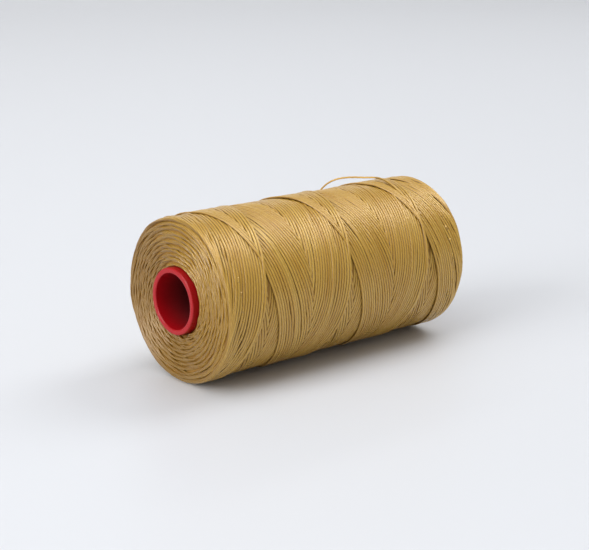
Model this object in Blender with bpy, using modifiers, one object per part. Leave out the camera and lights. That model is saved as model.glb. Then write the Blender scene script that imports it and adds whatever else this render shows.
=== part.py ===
# Waxed thread spool: a cross-wound package of waxed sewing thread on a moulded plastic core tube,
# lying on its side. Metres, +Z up. The origin is on the surface under the middle of the package,
# and +X runs along the spool's axis, from the near end to the far end. +Y is the spool's back.

import bpy
from math import cos, pi, radians, sin
from mathutils import Vector
from mathutils.geometry import interpolate_bezier

# ---- driving dimensions -------------------------------------------------------------------

THREAD_DIAMETER = 0.0008

PACKAGE_LENGTH = 0.083
PACKAGE_RADIUS = 0.0215
NEAR_SHOULDER_RADIAL = 0.0033      # how far the rounded shoulder reaches in over the end face
NEAR_SHOULDER_AXIAL = 0.0019       # how far it reaches along the package
FAR_SHOULDER_RADIAL = 0.0045
FAR_SHOULDER_AXIAL = 0.0022
FACE_HOLLOW_DEPTH = 0.00045        # each end face sinks a little towards the core
FACE_HOLLOW_WIDTH = 0.0035

CORE_OUTER_RADIUS = 0.0086
CORE_WALL = 0.0014
CORE_PROUD = 0.0009                # the core tube stands out past each end face
CORE_EDGE_RADIUS = 0.00035

WINDING_CLEARANCE = 0.0003         # gap between the core tube and the innermost thread

CORE_COLOUR = (0.52, 0.035, 0.05)
CORE_ROUGHNESS = 0.38
THREAD_COLOUR = (0.50, 0.33, 0.12)
THREAD_ROUGHNESS = 0.5

# ---- how finely curves are cut ------------------------------------------------------------

CORE_STEPS = 64
PACKAGE_STEPS = 72
SHOULDER_POINTS = 8
EDGE_POINTS = 3
SEAM_MERGE = 0.00002
CORD_BEVEL_RESOLUTION = 2
CORD_POINTS_PER_SPAN = 3

# ---- values that follow from them ---------------------------------------------------------

CORE_INNER_RADIUS = CORE_OUTER_RADIUS - CORE_WALL
CORE_LENGTH = PACKAGE_LENGTH + 2.0 * CORE_PROUD
WINDING_INNER_RADIUS = CORE_OUTER_RADIUS + WINDING_CLEARANCE

# The package rests on one flat facet of its outline, so the axis stands at the facet's height.
AXIS_HEIGHT = PACKAGE_RADIUS * cos(pi / PACKAGE_STEPS)

# Route of the loose end, in millimetres. The first points follow the package: distance along the
# spool from its middle, angle up from the back, and distance from the spool's axis.
LOOSE_END_OVER_PACKAGE = [
    (28.3, 87.0, 22.2),
    (27.9, 82.5, 22.2),
    (27.25, 78.0, 22.3),
    (26.4, 74.5, 22.58),
    (25.2, 71.0, 22.98),
    (23.95, 67.5, 23.33),
    (22.75, 63.8, 23.6),
    (21.85, 59.5, 23.72),
    (21.4, 54.5, 23.75),
    (21.3, 48.0, 23.72),
    (21.2, 40.0, 23.6),
    (21.0, 30.5, 23.4),
    (20.7, 19.5, 23.15),
    (20.35, 7.5, 23.0),
]
# Then it hangs down behind the package and lies on the surface: x, y and z.
LOOSE_END_TO_SURFACE = [
    (20.0, 22.95, 18.0),
    (19.75, 23.25, 12.3),
    (19.7, 24.2, 6.9),
    (19.9, 26.1, 2.9),
    (19.8, 28.9, 0.9),
    (18.5, 31.9, 0.5),
    (15.5, 34.4, 0.5),
    (11.5, 35.7, 0.5),
    (7.2, 35.8, 0.5),
    (3.1, 34.6, 0.5),
    (-0.5, 32.3, 0.5),
    (-3.5, 29.3, 0.5),
]
MILLIMETRE = 0.001


# ---- helpers ------------------------------------------------------------------------------

def clear_scene():
    for old in list(bpy.data.objects):
        bpy.data.objects.remove(old, do_unlink=True)


def make_collection(name):
    collection = bpy.data.collections.new(name)
    bpy.context.scene.collection.children.link(collection)
    return collection


def make_material(name, colour, roughness, metallic=0.0):
    material = bpy.data.materials.new(name)
    material.use_nodes = True
    shader = material.node_tree.nodes["Principled BSDF"]
    shader.inputs["Base Color"].default_value = (*colour, 1.0)
    shader.inputs["Roughness"].default_value = roughness
    shader.inputs["Metallic"].default_value = metallic
    material.diffuse_color = (*colour, 1.0)
    return material


def corner(centre_r, centre_z, reach_r, reach_z, start_deg, end_deg, points):
    """Points on a quarter ellipse, from one angle to another, as (radius, height) pairs."""
    pairs = []
    for index in range(points + 1):
        angle = radians(start_deg + (end_deg - start_deg) * index / points)
        pairs.append((centre_r + reach_r * cos(angle), centre_z + reach_z * sin(angle)))
    return pairs


def turned(name, outline, steps, material, collection, axis):
    """Turn a closed outline of (radius, height) pairs, outer side first and downwards."""
    mesh = bpy.data.meshes.new(name)
    points = [(radius, 0.0, height) for radius, height in outline]
    count = len(points)
    edges = [(index, (index + 1) % count) for index in range(count)]
    mesh.from_pydata(points, edges, [])
    piece = bpy.data.objects.new(name, mesh)
    collection.objects.link(piece)
    screw = piece.modifiers.new("turn", "SCREW")
    screw.axis = "Z"
    screw.angle = 2.0 * pi
    screw.steps = steps
    screw.render_steps = steps
    screw.use_smooth_shade = True
    screw.use_merge_vertices = True
    screw.merge_threshold = SEAM_MERGE
    mesh.materials.append(material)
    piece.parent = axis
    piece.rotation_euler = (0.0, 0.0, pi / steps)      # a flat facet faces down, not an edge
    return piece


# ---- sub-parts ----------------------------------------------------------------------------

def make_axis(collection):
    """An empty on the spool's axis. Its +Z points along the spool to the far end."""
    axis = bpy.data.objects.new("spool_axis", None)
    axis.location = (0.0, 0.0, AXIS_HEIGHT)
    axis.rotation_euler = (0.0, pi / 2.0, 0.0)
    axis.empty_display_size = PACKAGE_RADIUS
    collection.objects.link(axis)
    return axis


def make_core_tube(collection, axis):
    """Moulded plastic tube, open from end to end, with its four edges rounded."""
    red = make_material("core_plastic", CORE_COLOUR, CORE_ROUGHNESS)
    top = CORE_LENGTH / 2.0
    edge = CORE_EDGE_RADIUS
    outer = CORE_OUTER_RADIUS
    inner = CORE_INNER_RADIUS
    outline = []
    outline += corner(outer - edge, top - edge, edge, edge, 90.0, 0.0, EDGE_POINTS)
    outline += corner(outer - edge, -top + edge, edge, edge, 0.0, -90.0, EDGE_POINTS)
    outline += corner(inner + edge, -top + edge, edge, edge, -90.0, -180.0, EDGE_POINTS)
    outline += corner(inner + edge, top - edge, edge, edge, 180.0, 90.0, EDGE_POINTS)
    return turned("core_tube", outline, CORE_STEPS, red, collection, axis)


def make_thread_winding(collection, axis, material):
    """The wound thread: a ring with rounded shoulders and end faces that sink to the core."""
    top = PACKAGE_LENGTH / 2.0
    inner = WINDING_INNER_RADIUS
    outline = [
        (inner, top - FACE_HOLLOW_DEPTH),
        (inner + FACE_HOLLOW_WIDTH, top),
    ]
    outline += corner(PACKAGE_RADIUS - FAR_SHOULDER_RADIAL, top - FAR_SHOULDER_AXIAL,
                      FAR_SHOULDER_RADIAL, FAR_SHOULDER_AXIAL, 90.0, 0.0, SHOULDER_POINTS)
    outline += corner(PACKAGE_RADIUS - NEAR_SHOULDER_RADIAL, -top + NEAR_SHOULDER_AXIAL,
                      NEAR_SHOULDER_RADIAL, NEAR_SHOULDER_AXIAL, 0.0, -90.0, SHOULDER_POINTS)
    outline += [
        (inner + FACE_HOLLOW_WIDTH, -top),
        (inner, -top + FACE_HOLLOW_DEPTH),
    ]
    return turned("thread_winding", outline, PACKAGE_STEPS, material, collection, axis)


def loose_end_route():
    """The route's own points, in metres."""
    route = []
    for along, angle_deg, reach in LOOSE_END_OVER_PACKAGE:
        angle = radians(angle_deg)
        height = AXIS_HEIGHT + reach * MILLIMETRE * sin(angle)
        route.append(Vector((along * MILLIMETRE, reach * MILLIMETRE * cos(angle), height)))
    for point in LOOSE_END_TO_SURFACE:
        route.append(Vector(point) * MILLIMETRE)
    return route


def smooth_curve(route, points_per_span):
    """Points read from a smooth curve that passes through every point of the route."""
    third = 1.0 / 3.0
    tangents = []
    for index in range(len(route)):
        before = route[max(index - 1, 0)]
        after = route[min(index + 1, len(route) - 1)]
        tangents.append((after - before).normalized())
    smooth = [route[0]]
    for index in range(len(route) - 1):
        start, end = route[index], route[index + 1]
        handle = (end - start).length * third
        span = interpolate_bezier(start, start + tangents[index] * handle,
                                  end - tangents[index + 1] * handle, end, points_per_span + 1)
        smooth += span[1:]
    return smooth


def make_loose_end(collection, material):
    """The free end of the thread, from where it lifts off the package to its cut end."""
    points = smooth_curve(loose_end_route(), CORD_POINTS_PER_SPAN)
    curve = bpy.data.curves.new("thread_loose_end", "CURVE")
    curve.dimensions = "3D"
    curve.bevel_depth = THREAD_DIAMETER / 2.0
    curve.bevel_resolution = CORD_BEVEL_RESOLUTION
    curve.use_fill_caps = True
    spline = curve.splines.new("POLY")
    spline.points.add(len(points) - 1)
    for slot, point in zip(spline.points, points):
        slot.co = (*point, 1.0)
    spline.use_smooth = True
    curve.materials.append(material)
    piece = bpy.data.objects.new("thread_loose_end", curve)
    collection.objects.link(piece)
    return piece


def main():
    clear_scene()
    collection = make_collection("waxed_thread_spool")
    waxed_thread = make_material("waxed_thread", THREAD_COLOUR, THREAD_ROUGHNESS)
    axis = make_axis(collection)
    make_core_tube(collection, axis)
    make_thread_winding(collection, axis, waxed_thread)
    make_loose_end(collection, waxed_thread)
    bpy.context.view_layer.update()


main()
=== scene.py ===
import math
import time

import bpy
import numpy as np
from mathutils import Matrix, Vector
from mathutils.geometry import interpolate_bezier


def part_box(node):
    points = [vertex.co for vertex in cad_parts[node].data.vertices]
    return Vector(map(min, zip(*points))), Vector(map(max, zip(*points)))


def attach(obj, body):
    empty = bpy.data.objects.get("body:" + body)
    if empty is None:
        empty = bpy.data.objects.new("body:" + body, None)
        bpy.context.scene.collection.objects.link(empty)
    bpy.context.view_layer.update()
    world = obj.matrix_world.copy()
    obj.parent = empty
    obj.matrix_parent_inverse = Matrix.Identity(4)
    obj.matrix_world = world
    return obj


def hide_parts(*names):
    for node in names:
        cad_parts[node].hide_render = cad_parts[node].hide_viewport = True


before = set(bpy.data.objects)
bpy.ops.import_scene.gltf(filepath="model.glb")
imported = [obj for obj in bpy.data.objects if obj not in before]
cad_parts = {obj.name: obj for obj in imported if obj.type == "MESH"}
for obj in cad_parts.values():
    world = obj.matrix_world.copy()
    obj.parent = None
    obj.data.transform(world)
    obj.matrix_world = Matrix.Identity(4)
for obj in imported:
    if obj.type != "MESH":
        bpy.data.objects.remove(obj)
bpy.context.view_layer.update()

startedAt = time.time()
mm = 0.001

windLow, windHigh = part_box("thread_winding")
coreLow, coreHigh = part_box("core_tube")
axisHeight = (windLow.z + windHigh.z) / 2
packageRadius = (windHigh.z - windLow.z) / 2 / mm
packageLength = (windHigh.x - windLow.x) / mm
halfTube = (coreHigh.x - coreLow.x) / 2
coreRadius = 8.6              # outside of the core tube; the spool's own sizes are in millimetres


def report(stage):
    print(f"[spool] {time.time() - startedAt:6.1f} s  {stage}", flush=True)


def addPiece(name, data, material=None):
    piece = bpy.data.objects.new(name, data)
    bpy.context.scene.collection.objects.link(piece)
    if material:
        data.materials.append(material)
    return piece


# camera: a long lens a little above the spool, off its near end

cameraView = {
    "place": (-0.2402, -0.2781, 0.1200),      # in metres
    "aim": (-0.00135, 0.00116, 0.02093),
    "lens": 86.89,
    "sensor": 36.0,
}


def makeCamera():
    lens = bpy.data.cameras.new("studio_camera")
    lens.lens = cameraView["lens"]
    lens.sensor_width = cameraView["sensor"]
    lens.clip_start = 0.01
    lens.dof.use_dof = False
    camera = addPiece("studio_camera", lens)
    camera.location = cameraView["place"]
    line = Vector(cameraView["aim"]) - Vector(cameraView["place"])
    camera.rotation_euler = line.to_track_quat("-Z", "Y").to_euler()
    bpy.context.scene.camera = camera


makeCamera()


# node helpers, then the shared groups

class NodeBench:
    # adds nodes to one tree and joins them up
    def __init__(self, tree):
        self.tree = tree
        self.nodes = tree.nodes
        self.step = 0

    def add(self, kind, inputs=None, **settings):
        node = self.nodes.new(kind)
        self.step += 1
        node.location = (180 * (self.step % 8), -220 * (self.step // 8))
        for key, value in settings.items():
            setattr(node, key, value)
        for key, value in (inputs or {}).items():
            self.feed(value, node.inputs[key])
        return node

    def feed(self, value, socket):
        if isinstance(value, bpy.types.NodeSocket):
            self.tree.links.new(value, socket)
        else:
            socket.default_value = value

    def math(self, operation, first, second=0.0, third=0.0):
        node = self.add("ShaderNodeMath", {0: first, 1: second, 2: third}, operation=operation)
        return node.outputs[0]

    def mixColour(self, factor, first, second, blend="MIX"):
        node = self.add("ShaderNodeMix", data_type="RGBA", blend_type=blend)
        self.feed(factor, node.inputs["Factor"])
        self.feed(first, node.inputs[6])
        self.feed(second, node.inputs[7])
        return node.outputs[2]

    def remap(self, value, fromLow, fromHigh, toLow, toHigh):
        settings = {0: value, 1: fromLow, 2: fromHigh, 3: toLow, 4: toHigh}
        return self.add("ShaderNodeMapRange", settings).outputs[0]


def newGroup(name, inputs, outputs):
    tree = bpy.data.node_groups.new(name, "ShaderNodeTree")
    for label, kind, value in inputs:
        socket = tree.interface.new_socket(label, in_out="INPUT", socket_type=kind)
        if value is not None:
            socket.default_value = value
    for label, kind in outputs:
        tree.interface.new_socket(label, in_out="OUTPUT", socket_type=kind)
    bench = NodeBench(tree)
    entry = bench.add("NodeGroupInput")
    leave = bench.add("NodeGroupOutput")
    return tree, bench, entry.outputs, leave.inputs


twist = {
    "pitch": 5.2,             # length of one full turn of the plies
    "plies": 3,
    "sharpness": 0.6,
}


def makePlyTwistGroup():
    # plies twisted together: how high each spot stands, and where two plies meet
    tree, bench, given, put = newGroup(
        "ply twist",
        [("Along", "NodeSocketFloat", None), ("Around", "NodeSocketFloat", None),
         ("Pitch", "NodeSocketFloat", twist["pitch"]),
         ("Plies", "NodeSocketFloat", twist["plies"]),
         ("Sharpness", "NodeSocketFloat", twist["sharpness"])],
        [("Height", "NodeSocketFloat"), ("Valley", "NodeSocketFloat")])
    lay = bench.math("ADD", bench.math("DIVIDE", given["Along"], given["Pitch"]), given["Around"])
    turn = bench.math("MULTIPLY", bench.math("MULTIPLY", lay, given["Plies"]), math.pi)
    ridge = bench.math("ABSOLUTE", bench.math("SINE", turn))
    crown = bench.math("POWER", ridge, given["Sharpness"])
    bench.feed(crown, put["Height"])
    bench.feed(bench.remap(ridge, 0.0, 0.45, 1.0, 0.0), put["Valley"])
    return tree


def makeWaxGroup():
    # wax that lies thicker in some places: a soft mottle and small specks
    tree, bench, given, put = newGroup(
        "wax mottle",
        [("Vector", "NodeSocketVector", None), ("Patch Size", "NodeSocketFloat", 0.006),
         ("Speck Size", "NodeSocketFloat", 0.0006)],
        [("Patches", "NodeSocketFloat"), ("Specks", "NodeSocketFloat")])
    big = bench.math("DIVIDE", 1.0, given["Patch Size"])
    small = bench.math("DIVIDE", 1.0, given["Speck Size"])
    patches = bench.add("ShaderNodeTexNoise", {"Vector": given["Vector"], "Scale": big,
                                               "Detail": 3.0, "Roughness": 0.55})
    specks = bench.add("ShaderNodeTexNoise", {"Vector": given["Vector"], "Scale": small,
                                              "Detail": 2.0, "Roughness": 0.6})
    bench.feed(bench.remap(patches.outputs[0], 0.3, 0.7, 0.0, 1.0), put["Patches"])
    bench.feed(bench.remap(specks.outputs[0], 0.35, 0.7, 0.0, 1.0), put["Specks"])
    return tree


plyTwist = makePlyTwistGroup()
waxMottle = makeWaxGroup()


def newMaterial(name):
    material = bpy.data.materials.new(name)
    material.use_nodes = True
    bench = NodeBench(material.node_tree)
    shader = material.node_tree.nodes["Principled BSDF"]
    return material, bench, shader


threadFinish = {
    "colour": (0.540, 0.297, 0.020, 1.0),
    "darkColour": (0.375, 0.168, 0.006, 1.0),
    "paleColour": (0.670, 0.440, 0.085, 1.0),
    "plainShare": 0.55,       # how much of the plain colour is mixed into each run's own tone
    "patchShare": 0.30,       # how pale the thicker wax turns it
    "plyShadeShare": 0.35,      # and how dark the painted shade between two plies is
    "toneSpread": 0.2,
    "roughness": 0.34,
    "roughnessDown": 0.06,
    "roughnessUp": 0.10,
    "waxCoat": 0.62,
    "waxCoatRoughness": 0.25,
    "sheen": 0.19,            # how much the filaments colour what they reflect
    # painted shade in the grooves between two threads
    "grooveShadeColour": (0.135, 0.056, 0.002, 1.0),
    "grooveShadeDepth": 0.74,
    "grooveShadeReach": (-0.2, 0.75),
    "plyDepth": 0.00005,      # in metres, as a bump's distance is
    "filamentDepth": 0.12,    # as a share of the ply depth
    "bumpStrength": 0.8,
}


def makeThreadMaterial(name, realPlies):
    # realPlies: the mesh already has its plies, so the bump only adds filaments
    material, bench, shader = newMaterial(name)
    uv = bench.add("ShaderNodeUVMap", uv_map="alongThread")
    parts = bench.add("ShaderNodeSeparateXYZ", {"Vector": uv.outputs[0]})
    along, around = parts.outputs[0], parts.outputs[1]
    ply = bench.add("ShaderNodeGroup", node_tree=plyTwist)
    ply.inputs["Pitch"].default_value = twist["pitch"]
    bench.feed(along, ply.inputs["Along"])
    bench.feed(around, ply.inputs["Around"])
    place = bench.add("ShaderNodeTexCoord")
    wax = bench.add("ShaderNodeGroup", node_tree=waxMottle)
    bench.feed(place.outputs["Object"], wax.inputs["Vector"])
    tone = bench.add("ShaderNodeAttribute", attribute_name="tone").outputs["Fac"]
    body = bench.mixColour(tone, threadFinish["darkColour"], threadFinish["paleColour"])
    body = bench.mixColour(threadFinish["plainShare"], body, threadFinish["colour"])
    patch = bench.remap(wax.outputs["Patches"], 0.0, 1.0, 0.0, threadFinish["patchShare"])
    body = bench.mixColour(patch, body, threadFinish["paleColour"])
    # painted shade where two plies meet
    plyShade = bench.math("MULTIPLY", ply.outputs["Valley"], threadFinish["plyShadeShare"])
    body = bench.mixColour(plyShade, body, threadFinish["darkColour"])
    if not realPlies:
        # painted shade: deep in the groove between two threads the colour is darker and fuller
        crown = bench.math("SINE", bench.math("MULTIPLY", around, 2 * math.pi))
        groove = bench.remap(crown, *threadFinish["grooveShadeReach"], threadFinish["grooveShadeDepth"], 0.0)
        body = bench.mixColour(groove, body, threadFinish["grooveShadeColour"])
    bench.feed(body, shader.inputs["Base Color"])
    rough = bench.remap(wax.outputs["Specks"], 0.0, 1.0,
                        threadFinish["roughness"] - threadFinish["roughnessDown"],
                        threadFinish["roughness"] + threadFinish["roughnessUp"])
    bench.feed(rough, shader.inputs["Roughness"])
    height = bench.math("MULTIPLY", wax.outputs["Specks"], threadFinish["filamentDepth"])
    if not realPlies:
        height = bench.math("ADD", height, ply.outputs["Height"])
    bump = bench.add("ShaderNodeBump", {"Height": height, "Distance": threadFinish["plyDepth"],
                                        "Strength": threadFinish["bumpStrength"]})
    bench.feed(bump.outputs[0], shader.inputs["Normal"])
    shader.inputs["Metallic"].default_value = threadFinish["sheen"]
    shader.inputs["Coat Weight"].default_value = threadFinish["waxCoat"]
    shader.inputs["Coat Roughness"].default_value = threadFinish["waxCoatRoughness"]
    return material


woundThread = makeThreadMaterial("wound waxed thread", False)
looseThread = makeThreadMaterial("loose waxed thread", True)


# thread tubes: every run of thread is a closed tube with a flattened section

tubes = {
    "sides": 8,
    "layShift": 0.37,         # each run starts at another point of the twist
    "layRange": 5.0,
}


def ringFrames(points, outward, runOf):
    # directions across the thread and away from the axis, for every sample
    ahead = np.vstack([points[1:], points[-1:]])
    behind = np.vstack([points[:1], points[:-1]])
    lastOfRun = np.append(runOf[1:] != runOf[:-1], True)
    firstOfRun = np.append(True, runOf[1:] != runOf[:-1])
    ahead[lastOfRun] = points[lastOfRun]
    behind[firstOfRun] = points[firstOfRun]
    along = ahead - behind
    along /= np.linalg.norm(along, axis=1)[:, None]
    up = outward - along * np.sum(outward * along, axis=1)[:, None]
    up /= np.linalg.norm(up, axis=1)[:, None]
    return np.cross(up, along), up


def makeTubes(name, runs, material):
    # runs: list of (points, outward, half width, half thickness, tone), all in millimetres
    sides = tubes["sides"]
    points = np.vstack([run[0] for run in runs])
    outward = np.vstack([run[1] for run in runs])
    width = np.concatenate([run[2] for run in runs])
    thick = np.concatenate([run[3] for run in runs])
    sizes = np.array([len(run[0]) for run in runs])
    runOf = np.repeat(np.arange(len(runs)), sizes)
    tone = np.repeat(np.array([run[4] for run in runs]), sizes)
    across, up = ringFrames(points, outward, runOf)
    turn = 2 * np.pi * (np.arange(sides) + 0.5) / sides
    ring = (points[:, None, :]
            + across[:, None, :] * (np.cos(turn)[None, :, None] * width[:, None, None])
            + up[:, None, :] * (np.sin(turn)[None, :, None] * thick[:, None, None]))
    starts = np.concatenate([[0], np.cumsum(sizes)[:-1]])
    ends = np.cumsum(sizes) - 1
    travel = np.zeros(len(points))
    steps = np.linalg.norm(points[1:] - points[:-1], axis=1)
    steps[runOf[1:] != runOf[:-1]] = 0
    travel[1:] = np.cumsum(steps)
    travel = (travel - travel[starts][runOf]
              + (starts[runOf] * tubes["layShift"]) % tubes["layRange"])
    goesOn = np.where(runOf[1:] == runOf[:-1])[0]
    here = np.arange(sides)
    after = (here + 1) % sides
    quads = np.stack([
        goesOn[:, None] * sides + here[None, :],
        goesOn[:, None] * sides + after[None, :],
        (goesOn[:, None] + 1) * sides + after[None, :],
        (goesOn[:, None] + 1) * sides + here[None, :]], axis=2).reshape(-1, 4)
    startCaps = starts[:, None] * sides + here[::-1][None, :]
    endCaps = ends[:, None] * sides + here[None, :]
    corner = np.concatenate([quads.ravel(), startCaps.ravel(), endCaps.ravel()])
    starting = np.concatenate([np.arange(len(quads)) * 4,
                               len(quads) * 4 + np.arange(2 * len(runs)) * sides])
    uQuad = np.stack([travel[goesOn]] * 2 + [travel[goesOn + 1]] * 2, axis=1)[:, None, :]
    uQuad = np.broadcast_to(uQuad, (len(goesOn), sides, 4))
    vQuad = np.stack([here, here + 1, here + 1, here], axis=1) / sides
    vQuad = np.broadcast_to(vQuad[None], (len(goesOn), sides, 4))
    sideUv = np.stack([uQuad, vQuad], axis=3).reshape(-1, 2)
    capUv = np.stack([np.repeat(np.concatenate([travel[starts], travel[ends]]), sides),
                      np.full(2 * len(runs) * sides, 0.5)], axis=1)
    mesh = bpy.data.meshes.new(name)
    mesh.vertices.add(len(points) * sides)
    mesh.vertices.foreach_set("co", (ring.reshape(-1) * mm).astype(np.float32))
    mesh.loops.add(len(corner))
    mesh.loops.foreach_set("vertex_index", corner.astype(np.int32))
    mesh.polygons.add(len(starting))
    mesh.polygons.foreach_set("loop_start", starting.astype(np.int32))
    mesh.polygons.foreach_set("use_smooth", np.ones(len(starting), bool))
    layer = mesh.uv_layers.new(name="alongThread")
    layer.data.foreach_set("uv", np.vstack([sideUv, capUv]).astype(np.float32).ravel())
    mesh.update(calc_edges=True)
    mark = mesh.attributes.new("tone", "FLOAT", "POINT")
    mark.data.foreach_set("value", np.repeat(tone, sides).astype(np.float32))
    mesh.validate()
    return addPiece(name, mesh, material)


# the loose end: it lifts off the package, falls behind it and lies on the surface

looseEnd = {
    "width": 0.8,             # the winding has pressed the thread a little flat
    "thickness": 0.5,
    "plyDepth": 0.05,
    "tone": 0.6,
    "overPackage": [          # along the spool, angle up from the back, distance from the axis
        (28.3, 87.0, 22.2), (27.9, 82.5, 22.2), (27.25, 78.0, 22.3), (26.4, 74.5, 22.58),
        (25.2, 71.0, 22.98), (23.95, 67.5, 23.33), (22.75, 63.8, 23.6), (21.85, 59.5, 23.72),
        (21.4, 54.5, 23.75), (21.3, 48.0, 23.72), (21.2, 40.0, 23.6), (21.0, 30.5, 23.4),
        (20.7, 19.5, 23.15), (20.35, 7.5, 23.0)],
    "toSurface": [            # x, y, z
        (20.0, 22.95, 18.0), (19.75, 23.25, 12.3), (19.7, 24.2, 6.9), (19.9, 26.1, 2.9),
        (19.8, 28.9, 0.9), (18.5, 31.9, 0.5), (15.5, 34.4, 0.5), (11.5, 35.7, 0.5),
        (7.2, 35.8, 0.5), (3.1, 34.6, 0.5), (-0.5, 32.3, 0.5), (-3.5, 29.3, 0.5)],
    "pointsPerSpan": 12,
    "sides": 24,
}


def looseRoute():
    route = []
    for along, angleDeg, reach in looseEnd["overPackage"]:
        angle = math.radians(angleDeg)
        route.append(Vector((along, reach * math.cos(angle),
                             axisHeight / mm + reach * math.sin(angle))))
    route += [Vector(point) for point in looseEnd["toSurface"]]
    return route


def smoothCurve(route, pointsPerSpan):
    last = len(route) - 1
    leads = [(route[min(i + 1, last)] - route[max(i - 1, 0)]).normalized() for i in range(last + 1)]
    smooth = [route[0]]
    for i in range(last):
        start, end = route[i], route[i + 1]
        handle = (end - start).length / 3
        smooth += interpolate_bezier(start, start + leads[i] * handle, end - leads[i + 1] * handle,
                                     end, pointsPerSpan + 1)[1:]
    return smooth


def makeLooseEnd():
    path = np.array(smoothCurve(looseRoute(), looseEnd["pointsPerSpan"]))
    travel = np.append(0, np.cumsum(np.linalg.norm(path[1:] - path[:-1], axis=1)))
    sides, count = looseEnd["sides"], len(path)
    along = np.gradient(path, axis=0)
    along /= np.linalg.norm(along, axis=1)[:, None]
    up = np.zeros_like(path)
    up[0] = np.cross(np.cross(along[0], (0, 0, 1)), along[0])
    for i in range(1, count):
        up[i] = up[i - 1] - along[i] * np.dot(up[i - 1], along[i])
        up[i] /= np.linalg.norm(up[i])
    up[0] /= np.linalg.norm(up[0])
    across = np.cross(up, along)
    turn = 2 * np.pi * np.arange(sides) / sides
    lay = turn[None, :] / (2 * np.pi) + travel[:, None] / twist["pitch"]
    groove = 1 - np.abs(np.sin(twist["plies"] * np.pi * lay)) ** twist["sharpness"]
    halfWidth = looseEnd["width"] / 2 - looseEnd["plyDepth"] * groove
    halfThick = looseEnd["thickness"] / 2 - looseEnd["plyDepth"] * groove
    ring = (path[:, None] + across[:, None] * (np.cos(turn)[None] * halfWidth)[..., None]
            + up[:, None] * (np.sin(turn)[None] * halfThick)[..., None])
    verts = [tuple(p) for p in (ring.reshape(-1, 3) * mm)]
    faces, uvs = [], []
    for i in range(count - 1):
        for j in range(sides):
            k = (j + 1) % sides
            faces.append((i * sides + j, i * sides + k, (i + 1) * sides + k, (i + 1) * sides + j))
            near, beyond = travel[i], travel[i + 1]
            uvs += [(near, j / sides), (near, (j + 1) / sides), (beyond, (j + 1) / sides),
                    (beyond, j / sides)]
    faces.append(tuple(range(sides))[::-1])
    faces.append(tuple((count - 1) * sides + j for j in range(sides)))
    uvs += [(0.0, 0.5)] * sides + [(travel[-1], 0.5)] * sides
    mesh = bpy.data.meshes.new("thread_loose_end_plies")
    mesh.from_pydata(verts, [], faces)
    mesh.shade_smooth()
    layer = mesh.uv_layers.new(name="alongThread")
    layer.data.foreach_set("uv", np.array(uvs, np.float32).ravel())
    mark = mesh.attributes.new("tone", "FLOAT", "POINT")
    mark.data.foreach_set("value", np.full(len(verts), looseEnd["tone"], np.float32))
    piece = addPiece("thread_loose_end_plies", mesh, looseThread)
    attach(piece, "root")
    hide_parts("thread_loose_end")
    report(f"loose end {travel[-1]:.1f} mm")


makeLooseEnd()


# the winding: the thread is laid pass by pass, each on what is already there

winding = {
    "halfWidth": 0.42,        # the thread is pressed a little flat on the package
    "halfThickness": 0.29,
    "turnsPerStroke": 3,
    "passesPerCovering": 34.4,
    "coveringGrowth": 1.12,   # how far one covering builds the package up
    "lastStart": 328.2,       # angle where the newest forward stroke sets out from the near end
    "lastLeg": [              # its way to where the loose end begins: angle, distance along
        (175.0, 67.4), (160.0, 68.5), (148.0, 69.05), (133.0, 69.25), (120.0, 69.6),
        (108.0, 69.95), (98.0, 70.02), (92.0, 69.95), (86.5, 69.8)],
    "liftAngle": 116.0,       # and where it starts to rise off the package
    "legBlend": (15.0, 25.0),  # how far ahead of that way it is led over, and over how far
    "guideOverrun": (0.1, 0.5),   # the guide turns this far past each end, at the core and outside
    "overrunGrown": 0.8,      # share of the package at which it reaches the second value
    "cornerRound": 0.6,       # how softly the thread turns round
    "passWander": 0.05,       # how far a whole pass lies off its line
    "slowWander": 0.07,       # and how far it wanders along the way
    "slowWaves": 28,
    "turnWander": 0.10,       # how unevenly the turns end
    "turnLimits": (-0.3, 0.5),
    "turnSlip": 4.0,          # and how far round they slip, in degrees
    "slipReach": 45.0,        # the slip dies away over this many degrees
    "freeFrom": 0.3,          # past the turn the thread is free to slide sideways
    "freeOver": 2.0,
    "slideTries": (-0.24, -0.16, -0.08, 0.0, 0.08, 0.16, 0.24),
    "slideCost": 1.6,
    "tautSpan": 0.9,          # half the length that the thread bridges over a hollow
    "settling": 0.12,         # how fast the package gives way under new turns
    "relief": 0.22,           # how far a thread may lie under or over its proper level
    "turnRelief": 0.5,        # the same at the turns
    "evenness": 0.6,          # how far pressing has evened out the finished package
    "evenFrom": 6.0,          # in full from this far out of the core
    "hollowDepth": 0.45,
    "hollowWidth": 3.5,
    "nearShoulder": (3.3, 1.9),
    "farShoulder": (4.5, 2.2),
    "seed": 11,
}
columns = 720                 # cells round the package, and along it
rowStep = 0.1
rowStart = -0.6
rowCount = int((packageLength - 2 * rowStart) / rowStep) + 1
slotLength = 0.5
lastTurn = 720                # added to an angle of the newest stroke, gives 0 to 360 on its last turn


def endDepth(reach, shoulder):
    # how far behind the flat of the end face the package ends at this distance from the axis
    hollow = winding["hollowDepth"] * np.clip(1 - (reach - coreRadius) / winding["hollowWidth"],
                                              0, 1)
    radial, axial = shoulder
    rise = np.clip((reach - (packageRadius - radial)) / radial, 0, 0.999)
    return np.maximum(hollow, axial * (1 - np.sqrt(1 - rise ** 2)))


def softFloor(value, level, softness):
    over = value - level
    return level + 0.5 * (over + np.sqrt(over ** 2 + softness ** 2))


def slidingMax(values, half):
    padded = np.pad(values, half, mode="edge")
    return np.lib.stride_tricks.sliding_window_view(padded, 2 * half + 1).max(axis=1)


def slidingMean(values, half):
    padded = np.pad(values, half, mode="edge")
    total = np.cumsum(np.insert(padded, 0, 0.0))
    return (total[2 * half + 1:] - total[:-2 * half - 1]) / (2 * half + 1)


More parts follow.
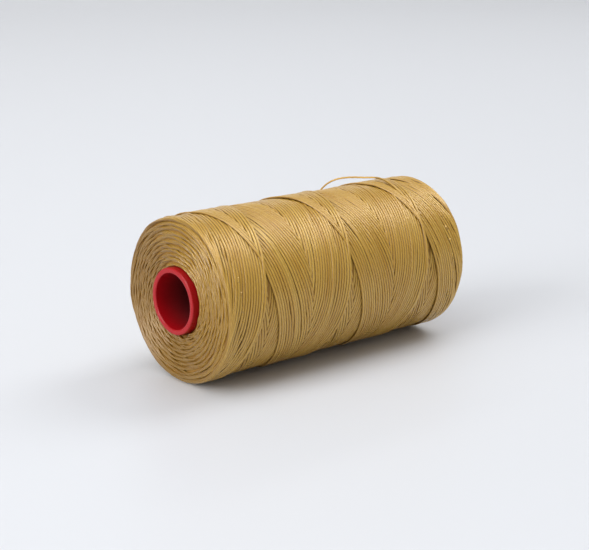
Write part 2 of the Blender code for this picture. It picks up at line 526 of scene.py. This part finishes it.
def footprint(place):
    # grid rows under the thread, and how high its round underside stands over each
    reachCells = np.arange(-4, 5)
    cells = np.rint((place - rowStart) / rowStep).astype(np.int32)[:, None] + reachCells
    u = (rowStart + cells * rowStep - place[:, None]) / winding["halfWidth"]
    arch = winding["halfThickness"] * np.sqrt(np.clip(1 - u * u, 0, 1))
    return np.clip(cells, 0, rowCount - 1), arch, np.abs(u) < 1


def restingHeight(surface, column, place):
    cells, arch, inside = footprint(place)
    return np.where(inside, surface[column[:, None], cells] + arch, 0).max(axis=1)


def columnOf(turn):
    # the grid column at an angle in degrees
    return np.rint(turn * columns / 360).astype(np.int32) % columns


def slideOff(surface, column, place, free):
    # the thread slides sideways off a ridge into the nearest low place
    tries = np.array(winding["slideTries"])
    heights = np.stack([restingHeight(surface, column, place + t * free) for t in tries])
    heights = heights + winding["slideCost"] * (tries ** 2)[:, None]
    slide = tries[np.argmin(heights, axis=0)] * free
    return place + slidingMean(slide, 12)


def giveWay(drift, slots, place, above):
    # the package gives way under the thread, so it grows evenly along its length
    slot = np.clip((place / slotLength).astype(int), 0, len(slots) - 1)
    found = np.bincount(slot, minlength=len(slots))
    rise = np.bincount(slot, weights=above, minlength=len(slots))
    wound = found > 0
    drift[wound] += winding["settling"] * (rise[wound] / found[wound] - drift[wound])
    return np.interp(place, slots + slotLength / 2, drift)


def windPackage():
    rng = np.random.default_rng(winding["seed"])
    growth = winding["coveringGrowth"] / winding["passesPerCovering"]
    halfThick, halfWide = winding["halfThickness"], winding["halfWidth"]
    passes = int(round((packageRadius - coreRadius - 2 * halfThick) / growth)) + 1
    shift = 360 / winding["passesPerCovering"]
    sweep = winding["turnsPerStroke"] * 360 - shift / 2
    count = int(round(sweep * columns / 360))
    swept = np.arange(count) * 360 / columns
    surface = np.full((columns, rowCount), coreRadius)
    nearJitter = np.clip(rng.normal(0, winding["turnWander"], passes + 1), *winding["turnLimits"])
    farJitter = np.clip(rng.normal(0, winding["turnWander"], passes + 1), *winding["turnLimits"])
    nearSlip = rng.normal(0, winding["turnSlip"], passes + 1)
    farSlip = rng.normal(0, winding["turnSlip"], passes + 1)
    slots = np.arange(0, packageLength + slotLength, slotLength)
    drift = np.zeros(len(slots))
    leg = np.array(winding["lastLeg"])[::-1]
    blendAhead, blendOver = winding["legBlend"]
    bottom = coreRadius + halfThick
    strokes = []
    for number in range(passes):
        newest = number == passes - 1
        reachNow = bottom + growth * number
        grown = number / (passes - 1)
        overrun = np.interp(grown, (0, winding["overrunGrown"]), winding["guideOverrun"])
        lead = (packageLength + 2 * overrun) / sweep
        nearAngle = winding["lastStart"] - (passes - 1 - number) * shift
        nearEnd = float(endDepth(reachNow, winding["nearShoulder"])) + halfWide
        farEnd = float(endDepth(reachNow, winding["farShoulder"])) + halfWide
        for backward in (False, True):
            if newest and backward:
                continue
            startAngle = nearAngle + (shift / 2 if backward else 0)
            onward = swept
            if newest:
                # the newest stroke stops where the loose end begins
                onward = swept[startAngle + lastTurn - swept > leg[0, 0]]
            fromNear = sweep - onward if backward else onward
            fromFar = sweep - fromNear
            # each turn may slip round a little, which dies away along the stroke
            sign = -1 if backward else 1
            slipNear = sign * nearSlip[number + backward] * np.exp(-fromNear / winding["slipReach"])
            slipFar = -sign * farSlip[number] * np.exp(-fromFar / winding["slipReach"])
            place = np.where(fromNear < fromFar, -overrun + lead * np.abs(fromNear + slipNear),
                             packageLength + overrun - lead * np.abs(fromFar + slipFar))
            knots = np.linspace(0, count - 1, winding["slowWaves"])
            wander = np.interp(np.arange(len(onward)), knots,
                               rng.normal(0, winding["slowWander"], winding["slowWaves"]))
            place = place + slidingMean(wander, 20) + rng.normal(0, winding["passWander"])
            nearLimit = nearEnd + nearJitter[number + backward]
            farLimit = farEnd + farJitter[number]
            place = softFloor(place, nearLimit, winding["cornerRound"])
            place = packageLength - softFloor(packageLength - place, farLimit,
                                              winding["cornerRound"])
            angle = startAngle - onward
            fromEnd = np.minimum(place - nearLimit, packageLength - farLimit - place)
            free = np.clip((fromEnd - winding["freeFrom"]) / winding["freeOver"], 0, 1)
            if newest:
                guided = np.clip((leg[-1, 0] + blendAhead - angle - lastTurn) / blendOver, 0, 1)
                place += (np.interp(angle + lastTurn, leg[:, 0], leg[:, 1]) - place) * guided
                free = free * (1 - guided)
            column = columnOf(angle)
            place = slideOff(surface, column, place, free)
            rest = restingHeight(surface, column, place)
            span = math.degrees(winding["tautSpan"] / reachNow) * columns / 360
            half = max(3, int(round(span)))
            taut = slidingMean(slidingMax(rest, half), half)
            squash = giveWay(drift, slots, place, taut - reachNow)
            relief = winding["relief"] + (winding["turnRelief"] - winding["relief"]) * (1 - free)
            height = np.clip(taut - squash, reachNow - relief, reachNow + relief)
            height = np.maximum(height, bottom)
            cells, arch, inside = footprint(place)
            top = np.where(inside, height[:, None] + arch, 0)
            np.maximum.at(surface, (column[:, None], cells), top)
            strokes.append((np.full(len(onward), number), angle, place, height))
    report(f"wound {len(strokes)} strokes, drift {drift.mean():.3f} mm")
    passOf, angle, place, height = (np.concatenate(values) for values in zip(*strokes))
    # smoothed, so that the thread runs on where one stroke follows another
    return passOf, angle, slidingMean(place, 3), slidingMean(height, 2), surface


def evenOut(surface, angle, place, height):
    # slow swells in the finished surface are pressed back towards its mean
    margin, halfTurn, halfRow = 20, 16, 30      # in cells of the grid
    wide = surface[:, margin:-margin].copy()
    swell = np.tile(wide, (3, 1))
    for _ in range(2):
        total = np.cumsum(np.vstack([np.zeros((1, swell.shape[1])), swell]), axis=0)
        window = 2 * halfTurn + 1
        middle = (total[window:] - total[:-window]) / window
        swell = np.vstack([swell[:halfTurn], middle, swell[-halfTurn:]])
        padded = np.pad(swell, ((0, 0), (halfRow, halfRow)), mode="edge")
        total = np.cumsum(np.hstack([np.zeros((len(padded), 1)), padded]), axis=1)
        window = 2 * halfRow + 1
        swell = (total[:, window:] - total[:, :-window]) / window
    swell = swell[columns:2 * columns] - swell.mean()
    lastRow = swell.shape[1] - 1
    row = np.clip(np.rint((place - rowStart) / rowStep).astype(int) - margin, 0, lastRow)
    outerShare = np.clip((height - coreRadius) / winding["evenFrom"], 0, 1)
    change = winding["evenness"] * swell[columnOf(angle), row] * outerShare
    rows = np.clip(np.arange(rowCount) - margin, 0, lastRow)
    return height - change, surface - winding["evenness"] * swell[:, rows]


def liftLastTurn():
    # the newest turn rises off the package to meet the loose end; 1 where they meet
    newest = threadPass == threadPass.max()
    exitAngle, exitReach = looseEnd["overPackage"][0][1:]
    rise = np.clip((winding["liftAngle"] - threadAngle[newest] - lastTurn)
                   / (winding["liftAngle"] - exitAngle), 0, 1)
    rise = rise * rise * (3 - 2 * rise)
    threadHeight[newest] += (exitReach - threadHeight[newest]) * rise
    lift = np.zeros(len(threadPlace))
    lift[newest] = rise
    return lift


# the whole thread, sample by sample: its pass, angle, place along the spool and distance out
threadPass, threadAngle, threadPlace, threadHeight, woundSurface = windPackage()
threadHeight, woundSurface = evenOut(woundSurface, threadAngle, threadPlace, threadHeight)
threadLift = liftLastTurn()


# only the thread that can be seen is built: what lies deeper is left to a plain filler

visible = {
    "sideDepth": 0.22,        # how deep under the surface a thread may lie
    "endDepth": 0.5,
    "endZone": 5.0,
    "sideStep": 1.15,         # length of one tube segment
    "endStep": 0.8,
    "shortest": 6,            # runs of fewer samples are left out
    "endOverlap": 3,          # how many samples each run goes on under its neighbours
    "sideOverlap": 4,
    "joinOverlap": 6,
    "joinReach": 0.3,
    "nearSlim": 0.88,         # the thread is drawn thinner or wider where it turns round
    "farSlim": 1.12,
    "slimZone": (1.5, 4.0),
    "ages": (0, 5, 10, 16, 23, 32, 10000),    # passes from the newest, one piece for each step
}
farOff = 9.0                  # deeper than any depth that counts


def seenFromSide():
    batch = 100000
    seen = np.zeros(len(threadPlace), bool)
    for first in range(0, len(threadPlace), batch):
        part = slice(first, first + batch)
        cells, arch, inside = footprint(threadPlace[part])
        column = columnOf(threadAngle[part])
        under = np.where(inside, woundSurface[column[:, None], cells]
                         - threadHeight[part][:, None] - arch, farOff).min(axis=1)
        seen[part] = under < visible["sideDepth"]
    return seen


def seenFromEnd(depth):
    # depth: distance behind the end, for the samples of the whole thread
    close = np.where(depth < visible["endZone"])[0]
    column = columnOf(threadAngle[close])
    height = threadHeight[close][:, None]
    cells = np.rint(threadHeight[close] / rowStep).astype(np.int32)[:, None] + np.arange(-3, 4)
    u = (cells * rowStep - height) / winding["halfThickness"]
    inside = np.abs(u) < 1
    face = depth[close][:, None] - winding["halfWidth"] * np.sqrt(np.clip(1 - u * u, 0, 1))
    front = np.full((columns, int(packageRadius / rowStep) + 12), farOff)
    np.minimum.at(front, (np.broadcast_to(column[:, None], cells.shape)[inside], cells[inside]),
                  face[inside])
    behind = np.where(inside, face - front[column[:, None], cells], farOff).min(axis=1)
    seen = np.zeros(len(threadPlace), bool)
    seen[close] = behind < visible["endDepth"]
    return seen


def widen(mask, by):
    return slidingMax(mask.astype(np.int8), by) > 0


def threadRuns(chosen, step, rng):
    # cuts the chosen samples into unbroken runs and thins them out to the wanted step
    edges = np.flatnonzero(np.diff(np.concatenate([[0], chosen.astype(np.int8), [0]])))
    runs = []
    halfWidth, halfThickness = winding["halfWidth"], winding["halfThickness"]
    for first, last in zip(edges[::2], edges[1::2]):
        if last - first < visible["shortest"]:
            continue
        middle = threadHeight[(first + last) // 2]
        stride = step / (middle * 2 * math.pi / columns)
        count = max(3, int(round((last - first) / stride)) + 1)
        pick = np.rint(np.linspace(first, last - 1, count)).astype(int)
        turn = np.radians(threadAngle[pick])
        along, lift = threadPlace[pick], threadLift[pick]
        outward = np.stack([np.zeros(count), np.cos(turn), np.sin(turn)], axis=1)
        points = outward * threadHeight[pick][:, None]
        points[:, 0] = along - packageLength / 2
        points[:, 2] += axisHeight / mm
        tone = np.clip(rng.normal(0.5, threadFinish["toneSpread"]), 0, 1)
        fromEnd = np.minimum(along, packageLength - along)
        slimmest = visible["nearSlim"] if along[0] < packageLength / 2 else visible["farSlim"]
        slim = np.interp(fromEnd, visible["slimZone"], (slimmest, 1.0))
        # where it leaves the package it takes the section of the loose end
        width = halfWidth * slim + (looseEnd["width"] / 2 - halfWidth) * lift
        thickness = halfThickness * slim + (looseEnd["thickness"] / 2 - halfThickness) * lift
        runs.append((points, outward, width, thickness, tone))
    return runs


def makeWoundThread():
    rng = np.random.default_rng(winding["seed"] + 1)
    endZone = visible["endZone"]
    nearDepth, farDepth = threadPlace, packageLength - threadPlace
    fromEnd = np.minimum(nearDepth, farDepth)
    side = seenFromSide()
    near = seenFromEnd(nearDepth) | (side & (nearDepth < endZone))
    far = seenFromEnd(farDepth) | (side & (farDepth < endZone))
    ends = widen(near | far, visible["endOverlap"])
    side = widen(side, visible["sideOverlap"]) & (~ends | (fromEnd > endZone))
    side = side | (widen(side, visible["joinOverlap"]) & ends
                   & (fromEnd > endZone - visible["joinReach"]))
    groups = {
        "thread_near_end": (ends & (nearDepth < packageLength / 2), visible["endStep"]),
        "thread_far_end": (ends & (farDepth < packageLength / 2), visible["endStep"]),
    }
    age = threadPass.max() - threadPass
    for i, (youngest, oldest) in enumerate(zip(visible["ages"], visible["ages"][1:])):
        chosen = side & (age >= youngest) & (age < oldest)
        groups[f"thread_passes_{i + 1}"] = (chosen, visible["sideStep"])
    pieces = []
    for name, (chosen, step) in groups.items():
        runs = threadRuns(chosen, step, rng)
        piece = makeTubes(name, runs, woundThread)
        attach(piece, "root")
        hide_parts("thread_winding")
        pieces.append(piece)
        report(f"{name}: {len(runs)} runs, {len(piece.data.polygons)} faces")
    return pieces


woundPieces = makeWoundThread()


# turned pieces

def turned(name, outline, steps, material):
    # outline: (along the axis, distance from it) pairs, closed, in millimetres
    count = len(outline)
    turn = 2 * math.pi * np.arange(steps) / steps
    verts = [(x * mm, reach * mm * math.cos(t), axisHeight + reach * mm * math.sin(t))
             for t in turn for x, reach in outline]
    faces = [(i * count + j, i * count + (j + 1) % count,
              (i + 1) % steps * count + (j + 1) % count, (i + 1) % steps * count + j)
             for i in range(steps) for j in range(count)]
    mesh = bpy.data.meshes.new(name)
    mesh.from_pydata(verts, [], faces)
    mesh.shade_smooth()
    return addPiece(name, mesh, material)


def arc(centreX, centreReach, radiusX, radiusReach, startDeg, endDeg, points):
    angles = np.radians(np.linspace(startDeg, endDeg, points))
    return [(centreX + radiusX * math.cos(a), centreReach + radiusReach * math.sin(a))
            for a in angles]


filler = {
    "underSide": 0.95,        # how far the filler stays behind the package's outside
    "underNearEnd": 0.85,
    "underFarEnd": 0.60,
    "clearOfCore": 0.25,
    # painted shade: the filler is coloured as thread lying deep in shadow
    "colour": (0.29, 0.145, 0.020, 1.0),
    "roughness": 0.7,
    "steps": 96,
    "stepsOut": 16,
}


def makeFiller():
    material, _, shader = newMaterial("thread in the shade")
    shader.inputs["Base Color"].default_value = filler["colour"]
    shader.inputs["Roughness"].default_value = filler["roughness"]
    half = packageLength / 2
    reaches = np.linspace(coreRadius + filler["clearOfCore"], packageRadius - filler["underSide"],
                          filler["stepsOut"])
    near = [(-half + float(endDepth(reach, winding["nearShoulder"])) + filler["underNearEnd"],
             float(reach)) for reach in reaches]
    far = [(half - float(endDepth(reach, winding["farShoulder"])) - filler["underFarEnd"],
            float(reach)) for reach in reaches]
    piece = turned("thread_filler", near + far[::-1], filler["steps"], material)
    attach(piece, "root")
    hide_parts("thread_winding")


makeFiller()


# the core tube, open from end to end

core = {
    "wall": 1.4,
    "edge": 0.35,
    "edgePoints": 7,
    "steps": 128,
    "colour": (0.340, 0.002, 0.005, 1.0),
    "paleColour": (0.400, 0.005, 0.009, 1.0),
    "paleShare": 0.25,
    "boreShadeColour": (0.080, 0.0005, 0.0012, 1.0),
    "shade": 0.9,             # painted shade: how dark the bore turns, from where and how far in
    "shadeFrom": 1.0,
    "shadeReach": 9.0,
    "shadeBlend": 0.15,
    "shadeDull": 0.66,
    "roughness": 0.32,
    "roughnessDown": 0.05,
    "roughnessUp": 0.08,
    "specular": 0.32,
    "coat": 0.04,
    "coatRoughness": 0.2,
    "patchSize": 0.004,       # in metres, as the shader has them
    "speckSize": 0.0004,
    "speckDepth": 0.00001,
    "bumpStrength": 0.5,
}


def boreShade(bench, spot):
    # painted shade: 1 deep in the bore, 0 on its rim and on the outside
    up = bench.math("SUBTRACT", spot[2], axisHeight)
    reach = bench.math("SQRT", bench.math("ADD", bench.math("MULTIPLY", up, up),
                                          bench.math("MULTIPLY", spot[1], spot[1])))
    innerWall = coreRadius - core["wall"]
    inside = bench.remap(reach, innerWall * mm, (innerWall + core["shadeBlend"]) * mm, 1.0, 0.0)
    depth = bench.math("SUBTRACT", halfTube, bench.math("ABSOLUTE", spot[0]))
    deep = bench.remap(depth, core["shadeFrom"] * mm, core["shadeReach"] * mm, 0.0, 1.0)
    return bench.math("MULTIPLY", bench.math("MULTIPLY", inside, deep), core["shade"])


def makeCoreMaterial():
    material, bench, shader = newMaterial("red moulded plastic")
    place = bench.add("ShaderNodeTexCoord").outputs["Object"]
    specks = bench.add("ShaderNodeGroup", node_tree=waxMottle)
    specks.inputs["Patch Size"].default_value = core["patchSize"]
    specks.inputs["Speck Size"].default_value = core["speckSize"]
    bench.feed(place, specks.inputs["Vector"])
    pale = bench.math("MULTIPLY", specks.outputs["Patches"], core["paleShare"])
    tint = bench.mixColour(pale, core["colour"], core["paleColour"])
    shade = boreShade(bench, bench.add("ShaderNodeSeparateXYZ", {"Vector": place}).outputs)
    # painted shade: deep in the bore the red is darkened
    bench.feed(bench.mixColour(shade, tint, core["boreShadeColour"]), shader.inputs["Base Color"])
    gloss = bench.remap(specks.outputs["Specks"], 0, 1, core["roughness"] - core["roughnessDown"],
                        core["roughness"] + core["roughnessUp"])
    bench.feed(bench.math("ADD", gloss, bench.math("MULTIPLY", shade, core["shadeDull"])),
               shader.inputs["Roughness"])
    bump = bench.add("ShaderNodeBump", {"Height": specks.outputs["Specks"],
                                        "Distance": core["speckDepth"],
                                        "Strength": core["bumpStrength"]})
    bench.feed(bump.outputs[0], shader.inputs["Normal"])
    shader.inputs["Specular IOR Level"].default_value = core["specular"]
    shader.inputs["Coat Weight"].default_value = core["coat"]
    shader.inputs["Coat Roughness"].default_value = core["coatRoughness"]
    return material


def makeCore():
    end = halfTube / mm
    inner = coreRadius - core["wall"]
    edge, points = core["edge"], core["edgePoints"]
    outline = (arc(-end + edge, coreRadius - edge, edge, edge, 180, 90, points)
               + arc(end - edge, coreRadius - edge, edge, edge, 90, 0, points)
               + arc(end - edge, inner + edge, edge, edge, 0, -90, points)
               + arc(-end + edge, inner + edge, edge, edge, 270, 180, points))
    piece = turned("core_tube_moulded", outline, core["steps"], makeCoreMaterial())
    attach(piece, "root")
    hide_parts("core_tube")
    report("core tube and filler")


makeCore()


# studio: a pale seamless table among large soft lights

studio = {
    "tableColour": (0.640, 0.652, 0.680, 1.0),
    "tableRoughness": 0.45,
    "coveRadius": 3.0,        # metres, as everything in the studio
    "coveRise": 0.6,
    "coveHeight": 1.2,
    "coveSteps": 64,
    "worldColour": (1.0, 0.975, 0.93, 1.0),
    "worldStrength": 0.46,
    "lightColour": (0.95, 0.97, 1.0),
    "backdropColour": (0.98, 0.99, 1.0),
    "middle": (0.0, 0.0, 0.0),
    "backdrop": (0.9, 2.4, 0.4),
}

# the soft lights: where each one stands, its size and its power in watts
softboxes = {
    "overhead_softbox": ((-0.1, -0.15, 1.5), (1.4, 1.2), 8.8),
    "right_softbox": ((1.2, -0.1, 1.3), (0.9, 0.9), 10.8),
    "left_softbox": ((-2.0, 0.1, 0.75), (1.4, 1.2), 33.0),
    "high_left_softbox": ((-1.0, -0.1, 1.2), (0.9, 0.9), 5.0),
}
backdropLight = ((0.9, 2.0, 1.5), (1.8, 1.0), 10.5)


def makeTable():
    lowest = min(min(v.co.z for v in piece.data.vertices) for piece in woundPieces)
    material, _, shader = newMaterial("pale table")
    shader.inputs["Base Color"].default_value = studio["tableColour"]
    shader.inputs["Roughness"].default_value = studio["tableRoughness"]
    rise, radius, steps = studio["coveRise"], studio["coveRadius"], studio["coveSteps"]
    profile = [(r, 0.0) for r in np.linspace(0, radius - rise, 6)]
    profile += [(radius - rise + rise * math.sin(a), rise - rise * math.cos(a))
                for a in np.radians(np.linspace(10, 90, 9))]
    profile += [(radius, studio["coveHeight"])]
    count = len(profile)
    verts = [(r * math.cos(t), r * math.sin(t), z + lowest)
             for t in 2 * math.pi * np.arange(steps) / steps for r, z in profile]
    faces = [(i * count + j, i * count + j + 1, (i + 1) % steps * count + j + 1,
              (i + 1) % steps * count + j) for i in range(steps) for j in range(count - 1)]
    mesh = bpy.data.meshes.new("table")
    mesh.from_pydata(verts, [], faces)
    mesh.shade_smooth()
    table = addPiece("table", mesh, material)


def makeAir():
    bpy.context.scene.view_settings.view_transform = "Standard"
    world = bpy.data.worlds.new("studio_air")
    bpy.context.scene.world = world
    world.use_nodes = True
    air = world.node_tree.nodes["Background"]
    air.inputs[0].default_value = studio["worldColour"]
    air.inputs[1].default_value = studio["worldStrength"]


def softLight(name, place, size, power, aim, colour):
    lamp = bpy.data.lights.new(name, "AREA")
    lamp.shape = "RECTANGLE"
    lamp.size, lamp.size_y = size
    lamp.energy = power
    lamp.color = colour
    light = addPiece(name, lamp)
    light.location = place
    line = Vector(aim) - Vector(place)
    light.rotation_euler = line.to_track_quat("-Z", "Y").to_euler()


makeTable()
makeAir()
for name, (place, size, power) in softboxes.items():
    softLight(name, place, size, power, studio["middle"], studio["lightColour"])
softLight("backdrop_light", *backdropLight, studio["backdrop"], studio["backdropColour"])
report("studio")

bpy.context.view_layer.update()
report("done")
